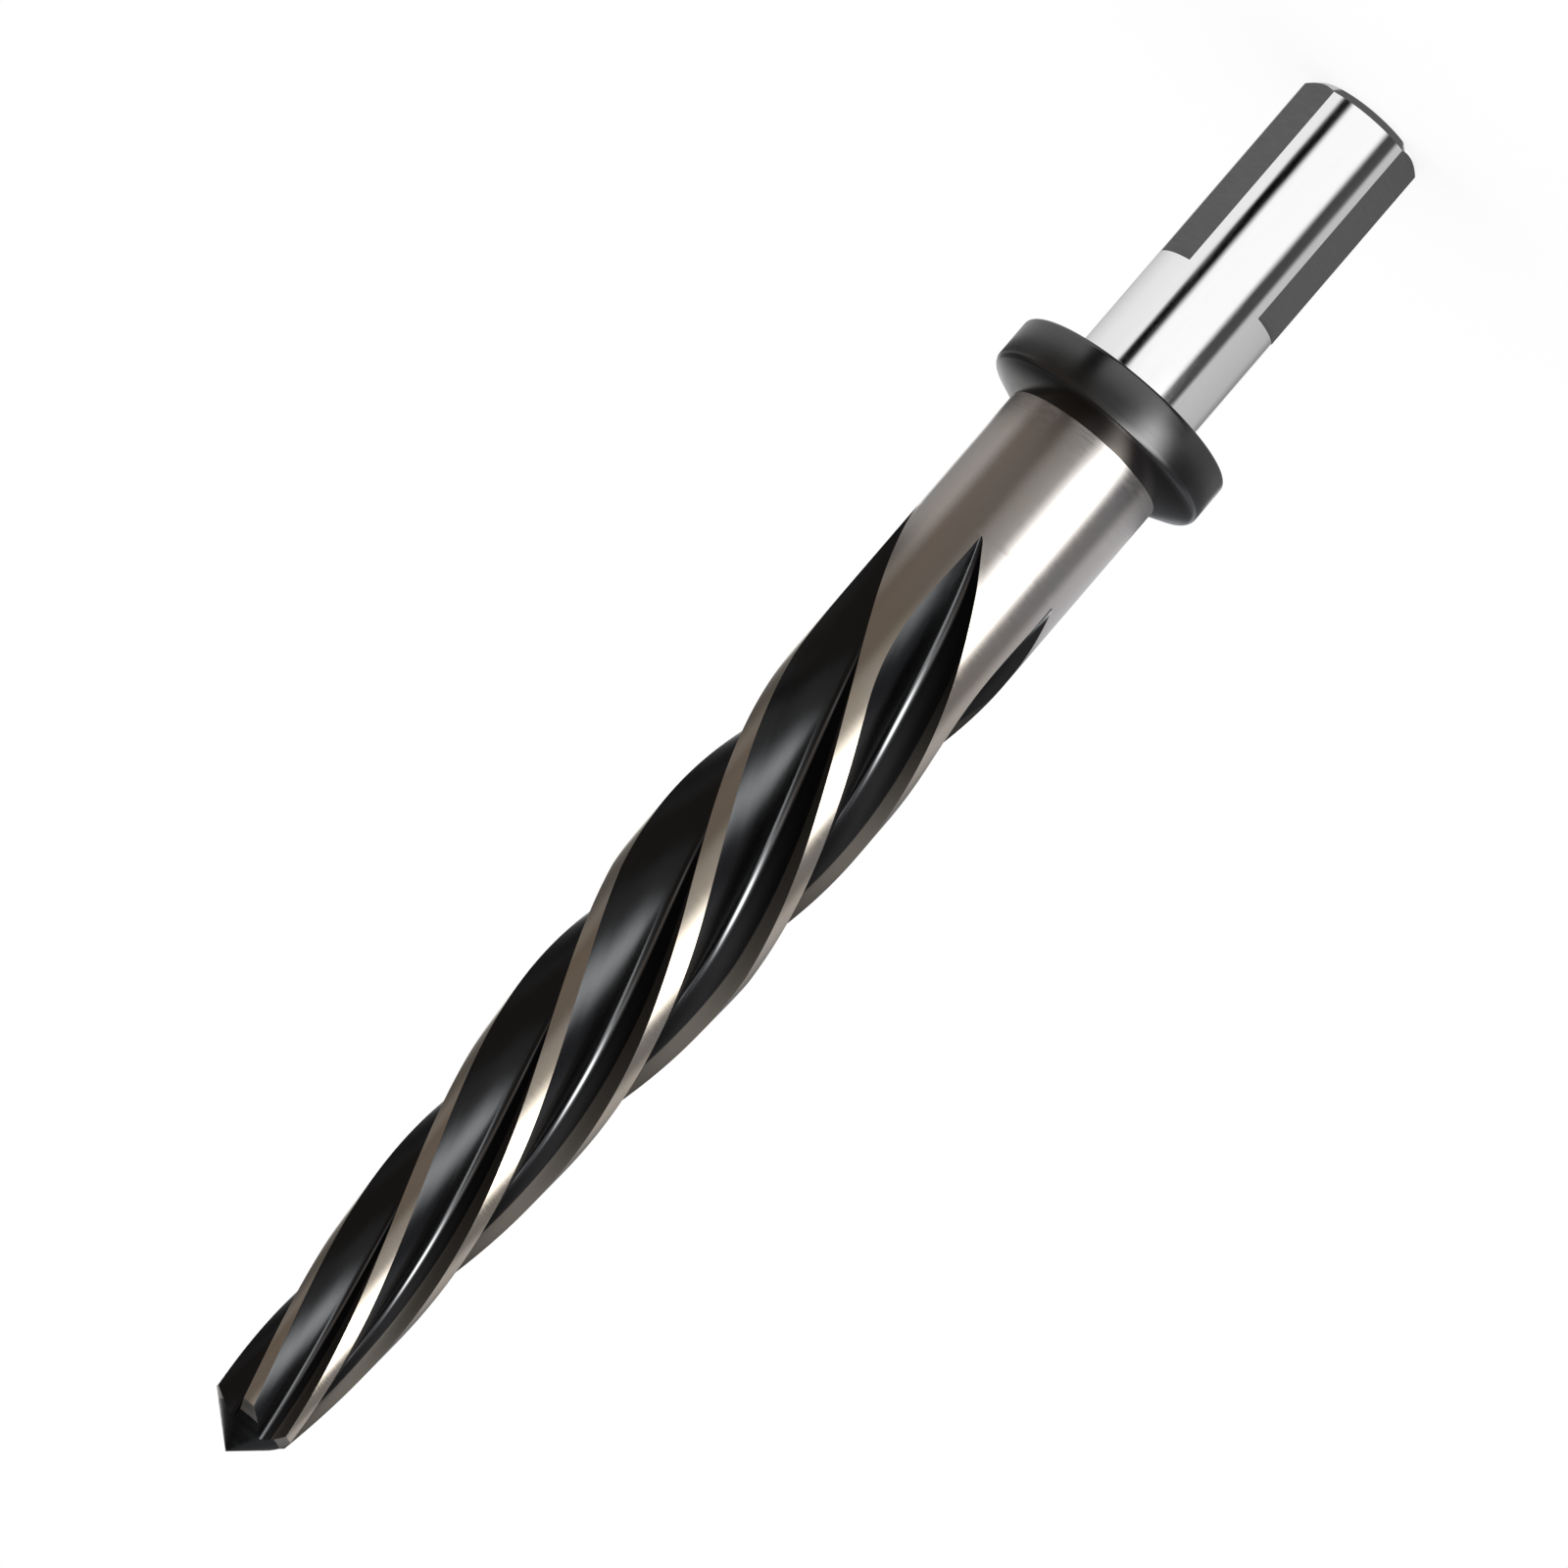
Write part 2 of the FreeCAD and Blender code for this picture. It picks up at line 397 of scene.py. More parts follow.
def oxide_steel(context):
    """Steam-blackened flutes, near black, with a deep gloss on the back of each tooth.

    The cutting face is matt, and its darker tone is partly painted shade. The wheel's last pass leaves a
    brown-grey strip along the cutting edge, wider towards the point. Between face and back, beside the tight
    root, a painted highlight is laid in: a thin bright, glossy band that ends before the point.
    """
    finishes = context.scene.reamer_finishes
    form = FluteForm(context.scene.reamer_flutes)
    flutes_start, flutes_end = form.run_out * MM, form.point_base * MM
    strip_opens, strip_full = (form.run_out + 8) * MM, (form.run_out + 22) * MM
    # Where the painted highlight beside the root lies, and where it fades out before the point.
    painted_highlight_fades, painted_highlight_ends = (form.point_base - 10) * MM, (form.point_base - 2) * MM
    painted_highlight_middle = form.across_at_root() - finishes.painted_highlight_width
    face_end = painted_highlight_middle - finishes.painted_highlight_width
    strip_blur, face_blur = 0.006, 0.02
    painted_highlight_roughness, dull = 0.1, 0.58
    # The second tone is the painted highlight beside the root; the third is the matt cutting face, darker
    # partly as painted shade.
    black, bright, matt_shaded_face_tone, strip_tint = (
        (*tint, 1) for tint in (finishes.oxide, finishes.root, finishes.matt, finishes.face)
    )
    material, tree = new_material("steam_blackened_steel")
    across = add_node(tree, "ShaderNodeAttribute", attribute_name="across").outputs["Fac"]
    height = height_on_tool(tree)
    lines = grain(tree, flute_place(tree, context.scene.reamer_flutes), (0.35, 0.35, 14.0))
    strip_widths = (finishes.strip_start, finishes.strip_end)
    strip_width = add_node(tree, "ShaderNodeMapRange", (height, flutes_start, flutes_end, *strip_widths))
    inside = add_node(tree, "ShaderNodeMath", (strip_width, across), operation="SUBTRACT")
    beside_edge = add_node(tree, "ShaderNodeMapRange", (inside, -strip_blur, strip_blur, 0.0, 1.0))
    below_run_out = add_node(tree, "ShaderNodeMapRange", (height, strip_opens, strip_full, 0.0, 1.0))
    strip = add_node(tree, "ShaderNodeMath", (beside_edge, below_run_out), operation="MULTIPLY")
    # Painted highlight: a bright, glossy band beside the root that fades out before the point.
    painted_highlight_across = near(tree, across, painted_highlight_middle, finishes.painted_highlight_width)
    painted_highlight_before_point = add_node(tree, "ShaderNodeMapRange", (height, painted_highlight_fades, painted_highlight_ends, 1.0, 0.0))
    line = add_node(tree, "ShaderNodeMath", (painted_highlight_across, painted_highlight_before_point), operation="MULTIPLY")
    # Matt cutting face, whose darker tone is partly painted shade.
    face_edge = (face_end - face_blur, face_end + face_blur)
    matt = add_node(tree, "ShaderNodeMapRange", (across, *face_edge, 1.0, 0.0))
    # The bright tone laid in here is the painted highlight.
    tone = add_node(tree, "ShaderNodeMix", (line, black, bright), data_type="RGBA")
    tone = add_node(tree, "ShaderNodeMix", (matt, tone, matt_shaded_face_tone), data_type="RGBA")
    tone = add_node(tree, "ShaderNodeMix", (strip, tone, strip_tint), data_type="RGBA")
    gloss = add_node(tree, "ShaderNodeMapRange", (lines, *NOISE_RANGE, 0.2, 0.26))
    gloss = add_node(tree, "ShaderNodeMapRange", (line, 0.0, 1.0, gloss, painted_highlight_roughness))
    on_face = add_node(tree, "ShaderNodeMath", (matt, strip), operation="MAXIMUM")
    roughness = add_node(tree, "ShaderNodeMapRange", (on_face, 0.0, 1.0, gloss, dull))
    steel_surface(tree, tone, roughness, lines, relief=0.0006)
    return material


def point_steel(context):
    """Steam-blackened cone of the point, with the fine rings that turning leaves, drawn 0.3 mm apart."""
    material, tree = new_material("turned_blackened_steel")
    tint = (*context.scene.reamer_finishes.oxide, 1)
    lined_steel(tree, tint, (6.0, 6.0, 0.3), roughness=(0.24, 0.36), relief=0.006)
    return material


def bevel_steel(context):
    """Tooth ends ground to a cone, grey and soft, with scratches round the axis, drawn 0.1 mm apart."""
    material, tree = new_material("ground_tooth_end_steel")
    tint = (*context.scene.reamer_finishes.bevel, 1)
    lined_steel(tree, tint, (2.0, 2.0, 0.1), roughness=(0.3, 0.45), relief=0.001)
    return material


def polished_steel(context):
    """Bright drawn bar polished along its length: a near mirror whose bands have slightly ragged edges."""
    material, tree = new_material("polished_bright_steel")
    tint = (*context.scene.reamer_finishes.polished, 1)
    lined_steel(tree, tint, (0.5, 0.5, 9.0), roughness=(0.08, 0.16), relief=0.002)
    return material


def milled_steel(context):
    """Dark milled jaw flats, dull and even, with faint cutter lines across the shank."""
    material, tree = new_material("milled_dark_steel")
    tint = (*context.scene.reamer_finishes.milled, 1)
    lined_steel(tree, tint, (3.0, 3.0, 0.25), roughness=(0.5, 0.65), relief=0.002, metallic=0.4)
    return material


def satin_steel(context):
    """Satin black oxide on the turned collar: near black, with one soft wide gloss and faint turned rings.

    The cone towards the neck is darker, as painted shade where the collar meets the neck, so that it hardly
    mirrors the bright steel beside it.
    """
    rim_tint = (*context.scene.reamer_finishes.satin, 1)
    shaded_cone_tint = (*context.scene.reamer_finishes.shaded_collar_cone, 1)
    rim_end = COLLAR_LOW.z + context.scene.reamer_collar.rim_height
    cone_start = rim_end + 0.4 * MM
    material, tree = new_material("satin_black_oxide_steel")
    # Painted shade: a darker tone on the cone beside the neck.
    on_cone = add_node(tree, "ShaderNodeMapRange", (height_on_tool(tree), rim_end, cone_start, 0.0, 1.0))
    tone = add_node(tree, "ShaderNodeMix", (on_cone, rim_tint, shaded_cone_tint), data_type="RGBA")
    lined_steel(tree, tone, (5.0, 5.0, 0.2), roughness=(0.21, 0.25), relief=0.0007)
    return material


# A flute's section from heel to cutting edge: shares of its width and of its depth. The back of the tooth
# bulges slightly, and a tight root leads into the cutting face.
FLUTE_OUTLINE = (
    (0.0, 0.0),
    (0.15, 0.30),
    (0.40, 0.72),
    (0.58, 0.955),
    (0.655, 1.0),
    (0.72, 0.985),
    (0.80, 0.90),
    (0.94, 0.58),
    (1.0, 0.0),
)

# Share of the flute's depth where its grid changes from the cutting face to the gullet.
FACE_DEPTH_SHARE = 0.75


class FluteForm:
    """Works out the blank and the flutes at any height, in millimetres and degrees, before the twist."""

    outline_steps = 24
    face_columns = 14
    gullet_columns = 48
    land_columns = 16

    def __init__(self, sizes):
        self.body_radius = sizes.reamer_diameter / MM / 2
        self.point_radius = sizes.point_diameter / MM / 2
        self.core_radius = sizes.core_diameter / MM / 2
        self.point_core_radius = sizes.point_core_diameter / MM / 2
        self.land = sizes.land_width / MM
        self.point_land = sizes.point_land_width / MM
        self.wheel_radius = sizes.wheel_radius / MM
        self.narrowing = sizes.run_out_narrowing
        self.curve = sizes.run_out_curve
        self.lag = math.degrees(sizes.run_out_lag)
        self.sector = 360 / sizes.flute_count
        self.shoulder = COLLAR_HIGH.z / MM
        self.run_out = self.shoulder + sizes.neck_length / MM
        self.taper_start = self.run_out + sizes.straight_length / MM
        self.taper_length = sizes.taper_length / MM
        self.point_base = self.taper_start + self.taper_length
        self.tip = BODY_HIGH.z / MM
        self.bevel_top = self.point_base + (self.tip - self.point_base) * sizes.bevel_share
        depth = self.body_radius - self.core_radius
        self.exit_run = math.sqrt(self.wheel_radius**2 - (self.wheel_radius - depth) ** 2)
        cone_slope = self.point_radius / (self.tip - self.point_base)
        core_slope = (self.core_radius - self.point_core_radius) / self.taper_length
        closing_run = (self.point_radius - self.point_core_radius) / (cone_slope - core_slope)
        self.closing = self.point_base + closing_run
        self.outline = smooth_outline(FLUTE_OUTLINE, self.outline_steps)
        self.outline.reverse()
        self.face_foot = next(
            index for index, point in enumerate(self.outline) if point[1] >= FACE_DEPTH_SHARE
        )
        girth = math.radians(self.sector) * (self.body_radius + self.core_radius) / 2
        steps = [
            math.hypot((end[0] - start[0]) * girth, (end[1] - start[1]) * depth)
            for start, end in zip(self.outline, self.outline[1:])
        ]
        self.across = [sum(steps[:index]) / sum(steps) for index in range(len(self.outline))]

    def across_at_root(self):
        """Share of the way across the flute where its root is."""
        return self.across[max(range(len(self.outline)), key=lambda index: self.outline[index][1])]

    def between(self, large_end, small_end, height):
        """A size that changes evenly along the taper."""
        along = max(0.0, (height - self.taper_start) / self.taper_length)
        return large_end + (small_end - large_end) * along

    def surface_radius(self, height):
        """Radius of the blank: neck, body, taper or point."""
        radius = self.between(self.body_radius, self.point_radius, height)
        if height > self.point_base:
            radius = self.point_radius * (self.tip - height) / (self.tip - self.point_base)
        return radius

    def profile(self, height):
        """The flute's outline from cutting edge to heel: angle behind the edge, radius and place across."""
        around = self.between(self.body_radius, self.point_radius, height)
        core = self.between(self.core_radius, self.point_core_radius, height)
        flute_angle = self.sector - math.degrees(self.between(self.land, self.point_land, height) / around)
        run = max(0.0, self.run_out + self.exit_run - height)
        lift = self.wheel_radius - math.sqrt(self.wheel_radius**2 - run**2)
        narrowing = 1 - self.narrowing * (run / self.exit_run) ** self.curve
        points = []
        for (width_share, depth_share), across in zip(self.outline, self.across):
            behind = self.lag + (flute_angle * (1 - width_share) - self.lag) * narrowing
            points.append((behind, around - (around - core) * depth_share + lift, across))
        return points

    def closed_flute(self, height):
        """Cutting face and gullet where the flute has run out: both at the angle of its deepest line."""
        angle_behind, _, across = min(self.profile(height), key=lambda point: point[1])
        spot = (angle_behind, self.surface_radius(height), across)
        return [spot] * (self.face_columns + 1), [spot] * (self.gullet_columns + 1)

    def open_flute(self, height):
        """Cutting face and gullet below the blank's surface, each as even steps."""
        radius = self.surface_radius(height)
        points = self.profile(height)
        below = [index for index, point in enumerate(points) if point[1] < radius]
        first, last = below[0], below[-1]
        edge = crossing(points[max(first - 1, 0)], points[first], radius)
        heel = crossing(points[min(last + 1, len(points) - 1)], points[last], radius)
        foot = max(first, min(self.face_foot, last))
        face = [edge, edge]
        gullet = [edge] + points[foot : last + 1] + [heel]
        if foot > first:
            face = [edge] + points[first : foot + 1]
            gullet = points[foot : last + 1] + [heel]
        return even_points(face, self.face_columns), even_points(gullet, self.gullet_columns)

    def flute_levels(self):
        """Heights of the rows from run-out to point, closer together where the flute opens and closes."""
        spacing, opening = 0.7, 8
        opening_rows, bevel_rows, closing_rows = 30, 6, 12
        opened = self.run_out + opening
        heights = [self.run_out + opening * (step / opening_rows) ** 2 for step in range(opening_rows)]
        heights += span(opened, self.taper_start, math.ceil((self.taper_start - opened) / spacing))
        heights += span(self.taper_start, self.point_base, math.ceil(self.taper_length / spacing))[1:]
        heights += span(self.point_base, self.bevel_top, bevel_rows)[1:]
        closing = self.closing - self.bevel_top
        for step in range(closing_rows):
            heights.append(self.closing - closing * (1 - (step + 1) / closing_rows) ** 2)
        return heights


def span(start, end, count):
    """Even steps from start to end."""
    return [start + (end - start) * index / count for index in range(count + 1)]


def crossing(outside, inside, radius):
    """Point where a flute's outline passes through the surface."""
    if outside[1] <= inside[1]:
        return (inside[0], radius, inside[2])
    along = min(1.0, max(0.0, (outside[1] - radius) / (outside[1] - inside[1])))
    behind, across = (outside[part] + (inside[part] - outside[part]) * along for part in (0, 2))
    return (behind, radius, across)


def even_points(profile, count):
    """The same outline with its points evenly spaced."""
    distances = [0.0]
    for start, end in zip(profile, profile[1:]):
        width = math.radians(end[0] - start[0]) * (start[1] + end[1]) / 2
        distances.append(distances[-1] + math.hypot(width, end[1] - start[1]))
    points = []
    index = 0
    for step in range(count + 1):
        wanted = distances[-1] * step / count
        while index < len(distances) - 2 and distances[index + 1] < wanted:
            index += 1
        gap = distances[index + 1] - distances[index]
        along = (wanted - distances[index]) / gap if gap > 0 else 0.0
        start, end = profile[index], profile[index + 1]
        points.append(tuple(low + (high - low) * along for low, high in zip(start, end)))
    return points


def sector_mesh(form):
    """One flute and one land, straight, from the shoulder to the tip."""
    neck_rows, nose_rows = 18, 8
    flutes, lands = [], []
    closed = (form.run_out, form.closing)
    for height in form.flute_levels():
        flute = form.closed_flute(height) if height in closed else form.open_flute(height)
        edge, heel = flute[0][0][0], flute[1][-1][0]
        radius = form.surface_radius(height)
        turns = span(heel, edge + form.sector, form.land_columns)
        flutes.append([(height, part) for part in flute])
        lands.append((height, [polar(radius, turn, height) for turn in turns]))

    def arc(radius, first_turn, height):
        turns = span(first_turn, first_turn + form.sector, form.land_columns)
        return [polar(radius, turn, height) for turn in turns]

    low_turn = form.closed_flute(form.run_out)[0][0][0]
    high_turn = form.closed_flute(form.closing)[0][0][0]
    neck = [arc(0, low_turn, form.shoulder)]
    for height in span(form.shoulder, form.run_out, neck_rows):
        neck.append(arc(form.body_radius, low_turn, height))
    nose_levels = span(form.closing, form.tip, nose_rows)[1:]
    nose = [arc(form.surface_radius(height), high_turn, height) for height in nose_levels]
    skin = Skin()
    skin.add_rows(neck, FINISHES.index("ground"))
    land_rows = [row for height, row in lands if height <= form.point_base]
    land_shares = [span(0, 1, form.land_columns)] * len(land_rows)
    skin.add_rows(land_rows, FINISHES.index("ground"), land_shares)
    bevel_rows = [row for height, row in lands if form.point_base <= height <= form.bevel_top]
    skin.add_rows(bevel_rows, FINISHES.index("bevel"))
    cone_rows = [row for height, row in lands if height >= form.bevel_top]
    skin.add_rows(cone_rows + nose, FINISHES.index("point"))
    for part in zip(*flutes):
        skin.add_rows(
            [[polar(reach, turn, height) for turn, reach, _ in row] for height, row in part],
            FINISHES.index("oxide"),
            [[across for _, _, across in row] for _, row in part],
        )
    return skin.mesh("flute_sector")


def spiral_tree(materials):
    """Node tree that repeats one sector round the axis, twists it into a spiral and gives it its finishes."""
    tree = bpy.data.node_groups.new("spiral_flutes", "GeometryNodeTree")
    tree.interface.new_socket("Geometry", in_out="INPUT", socket_type="NodeSocketGeometry")
    tree.interface.new_socket("Flute Count", in_out="INPUT", socket_type="NodeSocketInt")
    for name in ("Spiral Lead", "Edge Angle", "Tip Height"):
        tree.interface.new_socket(name, in_out="INPUT", socket_type="NodeSocketFloat")
    tree.interface.new_socket("Geometry", in_out="OUTPUT", socket_type="NodeSocketGeometry")
    given = add_node(tree, "NodeGroupInput").outputs
    line = add_node(tree, "GeometryNodeMeshLine", {"Count": given["Flute Count"], "Offset": (0, 0, 0)})
    index = add_node(tree, "GeometryNodeInputIndex")
    sector = add_node(tree, "ShaderNodeMath", (math.tau, given["Flute Count"]), operation="DIVIDE")
    turn = add_node(tree, "ShaderNodeMath", (index, sector), operation="MULTIPLY")
    turned = add_node(tree, "ShaderNodeCombineXYZ", {"Z": turn})
    copies = add_node(
        tree,
        "GeometryNodeInstanceOnPoints",
        {"Points": line, "Instance": given["Geometry"], "Rotation": turned},
    )
    real = add_node(tree, "GeometryNodeRealizeInstances", {"Geometry": copies})
    joined = add_node(tree, "GeometryNodeMergeByDistance", {"Geometry": real, "Distance": MERGE_DISTANCE})
    spot = add_node(tree, "GeometryNodeInputPosition")
    height = add_node(tree, "ShaderNodeSeparateXYZ", {"Vector": spot}).outputs["Z"]
    below_tip = add_node(tree, "ShaderNodeMath", (given["Tip Height"], height), operation="SUBTRACT")
    turns = add_node(tree, "ShaderNodeMath", (below_tip, given["Spiral Lead"]), operation="DIVIDE")
    twist = add_node(
        tree, "ShaderNodeMath", (turns, math.tau, given["Edge Angle"]), operation="MULTIPLY_ADD"
    )
    twisted = add_node(
        tree, "ShaderNodeVectorRotate", {"Vector": spot, "Angle": twist}, rotation_type="Z_AXIS"
    )
    shape = add_node(tree, "GeometryNodeSetPosition", {"Geometry": joined, "Position": twisted})
    finish = add_node(tree, "GeometryNodeInputNamedAttribute", {"Name": "finish"}, data_type="INT")
    for number, material in enumerate(materials):
        chosen = add_node(tree, "FunctionNodeCompare", (finish, number), data_type="INT", operation="EQUAL")
        shape = add_node(
            tree, "GeometryNodeSetMaterial", {"Geometry": shape, "Selection": chosen, "Material": material}
        )
    add_node(tree, "NodeGroupOutput", {"Geometry": shape})
    return tree


def socket_identifier(tree, name):
    """Identifier of a node tree's input."""
    return next(
        item.identifier for item in tree.interface.items_tree if item.name == name and item.in_out == "INPUT"
    )


class REAMER_OT_fluted_body(bpy.types.Operator):
    """Build the neck, the spiral flutes with their lands and run-outs, and the point"""

    bl_idname = "reamer.fluted_body"
    bl_label = "Fluted body"

    def execute(self, context):
        sizes = context.scene.reamer_flutes
        form = FluteForm(sizes)
        materials = [maker(context) for maker in (ground_steel, oxide_steel, point_steel, bevel_steel)]
        piece = place("fluted_body", sector_mesh(form))
        for material in materials:
            piece.data.materials.append(material)
        tree = spiral_tree(materials)
        modifier = piece.modifiers.new("spiral_flutes", "NODES")
        modifier.node_group = tree
        inputs = {
            "Flute Count": sizes.flute_count,
            "Spiral Lead": sizes.spiral_lead,
            "Edge Angle": sizes.edge_angle,
            "Tip Height": BODY_HIGH.z,
        }
        for name, value in inputs.items():
            modifier[socket_identifier(tree, name)] = value
        ready = context.evaluated_depsgraph_get()
        mesh = bpy.data.meshes.new_from_object(
            piece.evaluated_get(ready), preserve_all_data_layers=True, depsgraph=ready
        )
        piece.modifiers.clear()
        piece.data = mesh
        mesh.name = "fluted_body"
        shade(mesh, sharp_angle=40)
        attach(piece, "root")
        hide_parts("reamer_body")
        return {"FINISHED"}


def shank_mesh(sizes):
    """Shank from its end to the shoulder, with the flats cut in and the seat at the top."""
    radius = sizes.diameter / MM / 2
    floor = radius - sizes.flat_depth / MM
    chamfer_width = sizes.chamfer_width / MM
    chamfer_height = sizes.chamfer_height / MM
    flat_end = sizes.flat_length / MM
    seat = sizes.seat_diameter / MM / 2
    top = COLLAR_LOW.z / MM
    shoulder = COLLAR_HIGH.z / MM
    half = math.degrees(math.acos(floor / radius))
    pitch = 360 / sizes.flat_count
    wall_rows, flat_columns, round_columns = 6, 16, 40
    polished, milled = 0, 1
    skin = Skin()

    def outlines(turn_angle, edge_radius):
        """The shank's outline at an angle: end and chamfer, gripped wall, and the rest."""
        bevel_top = chamfer_height * (edge_radius - radius + chamfer_width) / chamfer_width
        end = [(0, 0), (radius - chamfer_width, 0), (edge_radius, bevel_top)]
        wall = [(edge_radius, height) for height in span(bevel_top, flat_end, wall_rows)]
        rest = [(edge_radius, flat_end)] + [(radius, height) for height in span(flat_end, top, wall_rows)]
        rest += [(seat, top), (seat, shoulder), (0, shoulder)]
        return [[polar(reach, turn_angle, height) for reach, height in part] for part in (end, wall, rest)]

    for flat in range(sizes.flat_count):
        centre = math.degrees(sizes.flat_angle) + flat * pitch
        gripped = [
            outlines(centre + turn, floor / math.cos(math.radians(turn)))
            for turn in span(-half, half, flat_columns)
        ]
        plain = [outlines(centre + turn, radius) for turn in span(half, pitch - half, round_columns)]
        for columns, wall_finish in ((gripped, milled), (plain, polished)):
            for part, finish in enumerate((polished, wall_finish, polished)):
                skin.add_rows([list(row) for row in zip(*(column[part] for column in columns))], finish)
    return skin.mesh("shank")


class REAMER_OT_shank(bpy.types.Operator):
    """Build the round shank with its jaw flats and the seat for the collar"""

    bl_idname = "reamer.shank"
    bl_label = "Shank"

    def execute(self, context):
        mesh = shank_mesh(context.scene.reamer_shank)
        for material in (polished_steel(context), milled_steel(context)):
            mesh.materials.append(material)
        finish = [0] * len(mesh.polygons)
        mesh.attributes["finish"].data.foreach_get("value", finish)
        mesh.polygons.foreach_set("material_index", finish)
        shade(mesh, sharp_angle=20)
        piece = place("shank", mesh)
        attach(piece, "root")
        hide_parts("reamer_body")
        return {"FINISHED"}


def rounded_corner(before, corner, after, radius, steps):
    """Arc that replaces the corner between two straight runs of an outline."""
    to_before = (Vector(before) - Vector(corner)).normalized()
    to_after = (Vector(after) - Vector(corner)).normalized()
    half = to_before.angle(to_after) / 2
    start = Vector(corner) + to_before * radius / math.tan(half)
    centre = Vector(corner) + (to_before + to_after).normalized() * radius / math.sin(half)
    arm = start - centre
    other = Vector(corner) + to_after * radius / math.tan(half) - centre
    swing = arm.angle_signed(other)
    points = []
    for step in range(steps + 1):
        turn = Matrix.Rotation(-swing * step / steps, 2)
        points.append(tuple(centre + turn @ arm))
    return points


class REAMER_OT_collar(bpy.types.Operator):
    """Build the pressed-on stop collar"""

    bl_idname = "reamer.collar"
    bl_label = "Stop collar"

    columns = 180
    rounding_rows = 8

    def execute(self, context):
        sizes = context.scene.reamer_collar
        bore = context.scene.reamer_shank.seat_diameter / MM / 2 + sizes.bore_clearance / MM
        neck = context.scene.reamer_flutes.reamer_diameter / MM / 2
        outer = COLLAR_HIGH.x / MM
        low, high = COLLAR_LOW.z / MM, COLLAR_HIGH.z / MM
        rim = low + sizes.rim_height / MM
        outline = [(bore, high), (bore, low)]
        for corners, rounding in (
            (((bore, low), (outer, low), (outer, rim)), sizes.upper_rounding),
            (((outer, low), (outer, rim), (neck, high)), sizes.lower_rounding),
        ):
            outline += rounded_corner(*corners, rounding / MM, self.rounding_rows)
        outline += [(neck, high), (bore, high)]
        turns = span(0, 360, self.columns)
        skin = Skin()
        skin.add_rows([[polar(radius, turn, height) for turn in turns] for radius, height in outline], 0)
        mesh = skin.mesh("stop_collar_ring")
        mesh.materials.append(satin_steel(context))
        shade(mesh, sharp_angle=30)
        piece = place("stop_collar_ring", mesh)
        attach(piece, "root")
        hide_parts("stop_collar")
        return {"FINISHED"}


# Colours of the surroundings and of the paper on the floor.
WHITE = "FFFFFF"
PAPER = "F4F4F4"

# Colours of the reflection cards by their turn about the axis, in degrees from the camera's side.
NECK_BANDS = (
    (-180, "FFFFFF"),
    (-158, "FFFFFF"),
    (-147, "909090"),
    (-94, "ACA8A6"),
    (-76, "746B65"),
    (-36, "6B6560"),
    (-24, "928F8D"),
    (0, "A8A6A5"),
    (8, "FFFFFF"),
    (53, "FFFFFF"),
    (63, "7A7A7E"),
    (86, "7A7A7E"),
    (100, "B8B8BC"),
    (180, "D2D5DA"),
)
SHANK_BANDS = (
    (-180, "B0B0B0"),
    (-100, "E8E8E8"),
    (-54, "F0F0F0"),
    (-50, "050505"),
    (-38, "050505"),
    (-31, "FFFFFF"),
    (30, "FFFFFF"),
    (38, "404040"),
    (54, "484848"),
    (60, "C2C2C2"),
    (120, "B4B4B4"),
    (146, "808080"),
    (154, "FFFFFF"),
)

# The key light is the brightest stretch of the cards above the shank's.
KEY_TURN = 33.0
KEY_REACH = 28.0
KEY_STRENGTH = 4.6

# Heights between which the shank's cards give way to the others, the cards opposite the collar stop being
# dim beside the key, and the cards opposite the flutes become dim on both sides.
CARD_SPLIT = (25.2 * MM, 26.2 * MM)
COLLAR_CARDS_END = (31.0 * MM, 33.0 * MM)
FLUTE_CARDS_START = (46.0 * MM, 50.0 * MM)
COLLAR_CARD_LEVEL = 0.28
SIDE_CARD_LEVEL = 0.3
LEFT_TURN = 155.0
RIGHT_TURN = -115.0
SIDE_REACH = 58.0


def card_bands(tree, place_along, bands):
    """Colour of the cards, in bands round the axis."""
    ramp = add_node(tree, "ShaderNodeValToRGB", {"Fac": place_along})
    stops = ramp.color_ramp.elements
    while len(stops) < len(bands):
        stops.new(0.5)
    for stop, (turn, code) in zip(stops, bands):
        stop.position = (turn + 180) / 360
        stop.color = (*linear(code), 1)
    return ramp


def dimmed(tree, strength, place_share, level):
    """Strength that falls to a level of itself where a share is one."""
    kept = add_node(tree, "ShaderNodeMapRange", (place_share, 0.0, 1.0, 1.0, level))
    return add_node(tree, "ShaderNodeMath", (strength, kept), operation="MULTIPLY")


